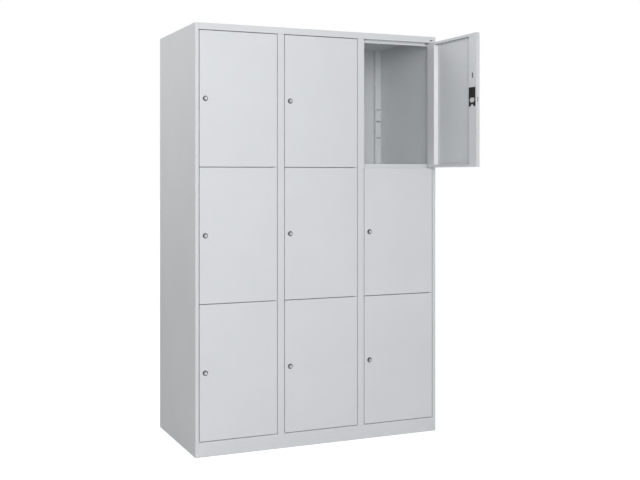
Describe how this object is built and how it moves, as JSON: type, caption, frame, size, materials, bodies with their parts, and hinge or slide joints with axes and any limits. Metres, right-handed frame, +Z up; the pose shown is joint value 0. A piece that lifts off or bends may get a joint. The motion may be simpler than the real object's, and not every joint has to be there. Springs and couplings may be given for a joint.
{
  "type": "compartment locker",
  "caption": "Sheet-steel locker cabinet with flush hinged doors in columns, a cylinder lock on each door and one door standing open.",
  "frame": {"origin": "on the floor, at the middle of the cabinet's front face", "axes": "+Z up, +X to the right seen from the front, +Y from the front to the back panel"},
  "size_m": [1.2, 0.849, 1.85],
  "materials": {
    "carcass_paint": "light grey powder coat, satin, fine orange peel",
    "door_paint": "light grey powder coat, satin, fine orange peel",
    "zinc_steel": "bright zinc plated",
    "plug_steel": "bright nickel, fine turning marks",
    "barrel_chrome": "polished",
    "lock_plastic": "moulded black plastic, slight sheen",
    "buffer_rubber": "matt grey rubber"
  },
  "bodies": {
    "carcass": {"side_wall_left": "carcass_paint", "side_wall_right": "carcass_paint", "partition_left": "carcass_paint", "partition_right": "carcass_paint", "roof_panel": "carcass_paint", "base_plinth": "carcass_paint", "back_panel": "carcass_paint", "back_screws": "zinc_steel", "floor_panels": "carcass_paint", "shelves": "carcass_paint", "rear_uprights": "carcass_paint", "hinge_plates": "carcass_paint", "hinge_pins": "zinc_steel", "door_buffers": "buffer_rubber"},
    "door_bottom_left": {"door_bottom_left": "door_paint", "lock_case_bottom_left": "lock_plastic", "lock_barrel_bottom_left": "barrel_chrome"},
    "plug_bottom_left": {"lock_plug_bottom_left": "plug_steel"},
    "bolt_bottom_left": {"lock_bolt_bottom_left": "zinc_steel"},
    "door_middle_left": {"door_middle_left": "door_paint", "lock_case_middle_left": "lock_plastic", "lock_barrel_middle_left": "barrel_chrome"},
    "plug_middle_left": {"lock_plug_middle_left": "plug_steel"},
    "bolt_middle_left": {"lock_bolt_middle_left": "zinc_steel"},
    "door_top_left": {"door_top_left": "door_paint", "lock_case_top_left": "lock_plastic", "lock_barrel_top_left": "barrel_chrome"},
    "plug_top_left": {"lock_plug_top_left": "plug_steel"},
    "bolt_top_left": {"lock_bolt_top_left": "zinc_steel"},
    "door_bottom_middle": {"door_bottom_middle": "door_paint", "lock_case_bottom_middle": "lock_plastic", "lock_barrel_bottom_middle": "barrel_chrome"},
    "plug_bottom_middle": {"lock_plug_bottom_middle": "plug_steel"},
    "bolt_bottom_middle": {"lock_bolt_bottom_middle": "zinc_steel"},
    "door_middle_middle": {"door_middle_middle": "door_paint", "lock_case_middle_middle": "lock_plastic", "lock_barrel_middle_middle": "barrel_chrome"},
    "plug_middle_middle": {"lock_plug_middle_middle": "plug_steel"},
    "bolt_middle_middle": {"lock_bolt_middle_middle": "zinc_steel"},
    "door_top_middle": {"door_top_middle": "door_paint", "lock_case_top_middle": "lock_plastic", "lock_barrel_top_middle": "barrel_chrome"},
    "plug_top_middle": {"lock_plug_top_middle": "plug_steel"},
    "bolt_top_middle": {"lock_bolt_top_middle": "zinc_steel"},
    "door_bottom_right": {"door_bottom_right": "door_paint", "lock_case_bottom_right": "lock_plastic", "lock_barrel_bottom_right": "barrel_chrome"},
    "plug_bottom_right": {"lock_plug_bottom_right": "plug_steel"},
    "bolt_bottom_right": {"lock_bolt_bottom_right": "zinc_steel"},
    "door_middle_right": {"door_middle_right": "door_paint", "lock_case_middle_right": "lock_plastic", "lock_barrel_middle_right": "barrel_chrome"},
    "plug_middle_right": {"lock_plug_middle_right": "plug_steel"},
    "bolt_middle_right": {"lock_bolt_middle_right": "zinc_steel"},
    "door_top_right": {"door_top_right": "door_paint", "lock_case_top_right": "lock_plastic", "lock_barrel_top_right": "barrel_chrome"},
    "plug_top_right": {"lock_plug_top_right": "plug_steel"},
    "bolt_top_right": {"lock_bolt_top_right": "zinc_steel"}
  },
  "joints": [
    {"name": "door_bottom_left_hinge", "type": "hinge", "parent": "carcass", "child": "door_bottom_left", "pos_m": [-0.225, 0.007, 0.3575], "axis": [0, 0, 1], "range_deg": [0, 105]},
    {"name": "plug_bottom_left_turn", "type": "hinge", "parent": "door_bottom_left", "child": "plug_bottom_left", "pos_m": [-0.555, 0, 0.3575], "axis": [0, 1, 0], "range_deg": [0, 90]},
    {"name": "bolt_bottom_left_slide", "type": "slide", "parent": "door_bottom_left", "child": "bolt_bottom_left", "axis": [-1, 0, 0], "range_m": [0, 0.012]},
    {"name": "door_middle_left_hinge", "type": "hinge", "parent": "carcass", "child": "door_middle_left", "pos_m": [-0.225, 0.007, 0.9425], "axis": [0, 0, 1], "range_deg": [0, 105]},
    {"name": "plug_middle_left_turn", "type": "hinge", "parent": "door_middle_left", "child": "plug_middle_left", "pos_m": [-0.555, 0, 0.9425], "axis": [0, 1, 0], "range_deg": [0, 90]},
    {"name": "bolt_middle_left_slide", "type": "slide", "parent": "door_middle_left", "child": "bolt_middle_left", "axis": [-1, 0, 0], "range_m": [0, 0.012]},
    {"name": "door_top_left_hinge", "type": "hinge", "parent": "carcass", "child": "door_top_left", "pos_m": [-0.225, 0.007, 1.5275], "axis": [0, 0, 1], "range_deg": [0, 105]},
    {"name": "plug_top_left_turn", "type": "hinge", "parent": "door_top_left", "child": "plug_top_left", "pos_m": [-0.555, 0, 1.5275], "axis": [0, 1, 0], "range_deg": [0, 90]},
    {"name": "bolt_top_left_slide", "type": "slide", "parent": "door_top_left", "child": "bolt_top_left", "axis": [-1, 0, 0], "range_m": [0, 0.012]},
    {"name": "door_bottom_middle_hinge", "type": "hinge", "parent": "carcass", "child": "door_bottom_middle", "pos_m": [0.175, 0.007, 0.3575], "axis": [0, 0, 1], "range_deg": [0, 105]},
    {"name": "plug_bottom_middle_turn", "type": "hinge", "parent": "door_bottom_middle", "child": "plug_bottom_middle", "pos_m": [-0.155, 0, 0.3575], "axis": [0, 1, 0], "range_deg": [0, 90]},
    {"name": "bolt_bottom_middle_slide", "type": "slide", "parent": "door_bottom_middle", "child": "bolt_bottom_middle", "axis": [-1, 0, 0], "range_m": [0, 0.012]},
    {"name": "door_middle_middle_hinge", "type": "hinge", "parent": "carcass", "child": "door_middle_middle", "pos_m": [0.175, 0.007, 0.9425], "axis": [0, 0, 1], "range_deg": [0, 105]},
    {"name": "plug_middle_middle_turn", "type": "hinge", "parent": "door_middle_middle", "child": "plug_middle_middle", "pos_m": [-0.155, 0, 0.9425], "axis": [0, 1, 0], "range_deg": [0, 90]},
    {"name": "bolt_middle_middle_slide", "type": "slide", "parent": "door_middle_middle", "child": "bolt_middle_middle", "axis": [-1, 0, 0], "range_m": [0, 0.012]},
    {"name": "door_top_middle_hinge", "type": "hinge", "parent": "carcass", "child": "door_top_middle", "pos_m": [0.175, 0.007, 1.5275], "axis": [0, 0, 1], "range_deg": [0, 105]},
    {"name": "plug_top_middle_turn", "type": "hinge", "parent": "door_top_middle", "child": "plug_top_middle", "pos_m": [-0.155, 0, 1.5275], "axis": [0, 1, 0], "range_deg": [0, 90]},
    {"name": "bolt_top_middle_slide", "type": "slide", "parent": "door_top_middle", "child": "bolt_top_middle", "axis": [-1, 0, 0], "range_m": [0, 0.012]},
    {"name": "door_bottom_right_hinge", "type": "hinge", "parent": "carcass", "child": "door_bottom_right", "pos_m": [0.575, 0.007, 0.3575], "axis": [0, 0, 1], "range_deg": [0, 105]},
    {"name": "plug_bottom_right_turn", "type": "hinge", "parent": "door_bottom_right", "child": "plug_bottom_right", "pos_m": [0.245, 0, 0.3575], "axis": [0, 1, 0], "range_deg": [0, 90]},
    {"name": "bolt_bottom_right_slide", "type": "slide", "parent": "door_bottom_right", "child": "bolt_bottom_right", "axis": [-1, 0, 0], "range_m": [0, 0.012]},
    {"name": "door_middle_right_hinge", "type": "hinge", "parent": "carcass", "child": "door_middle_right", "pos_m": [0.575, 0.007, 0.9425], "axis": [0, 0, 1], "range_deg": [0, 105]},
    {"name": "plug_middle_right_turn", "type": "hinge", "parent": "door_middle_right", "child": "plug_middle_right", "pos_m": [0.245, 0, 0.9425], "axis": [0, 1, 0], "range_deg": [0, 90]},
    {"name": "bolt_middle_right_slide", "type": "slide", "parent": "door_middle_right", "child": "bolt_middle_right", "axis": [-1, 0, 0], "range_m": [0, 0.012]},
    {"name": "door_top_right_hinge", "type": "hinge", "parent": "carcass", "child": "door_top_right", "pos_m": [0.575, 0.007, 1.5275], "axis": [0, 0, 1], "range_deg": [-90, 15]},
    {"name": "plug_top_right_turn", "type": "hinge", "parent": "door_top_right", "child": "plug_top_right", "pos_m": [0.575, -0.323, 1.5275], "axis": [-1, 0, 0], "range_deg": [0, 90]},
    {"name": "bolt_top_right_slide", "type": "slide", "parent": "door_top_right", "child": "bolt_top_right", "axis": [0, -1, 0], "range_m": [0, 0.012]}
  ],
  "couplings": [
    {"joint": "plug_bottom_left_turn", "follows": "bolt_bottom_left_slide", "rad_per_m": 130.9},
    {"joint": "plug_middle_left_turn", "follows": "bolt_middle_left_slide", "rad_per_m": 130.9},
    {"joint": "plug_top_left_turn", "follows": "bolt_top_left_slide", "rad_per_m": 130.9},
    {"joint": "plug_bottom_middle_turn", "follows": "bolt_bottom_middle_slide", "rad_per_m": 130.9},
    {"joint": "plug_middle_middle_turn", "follows": "bolt_middle_middle_slide", "rad_per_m": 130.9},
    {"joint": "plug_top_middle_turn", "follows": "bolt_top_middle_slide", "rad_per_m": 130.9},
    {"joint": "plug_bottom_right_turn", "follows": "bolt_bottom_right_slide", "rad_per_m": 130.9},
    {"joint": "plug_middle_right_turn", "follows": "bolt_middle_right_slide", "rad_per_m": 130.9},
    {"joint": "plug_top_right_turn", "follows": "bolt_top_right_slide", "rad_per_m": 130.9}
  ]
}
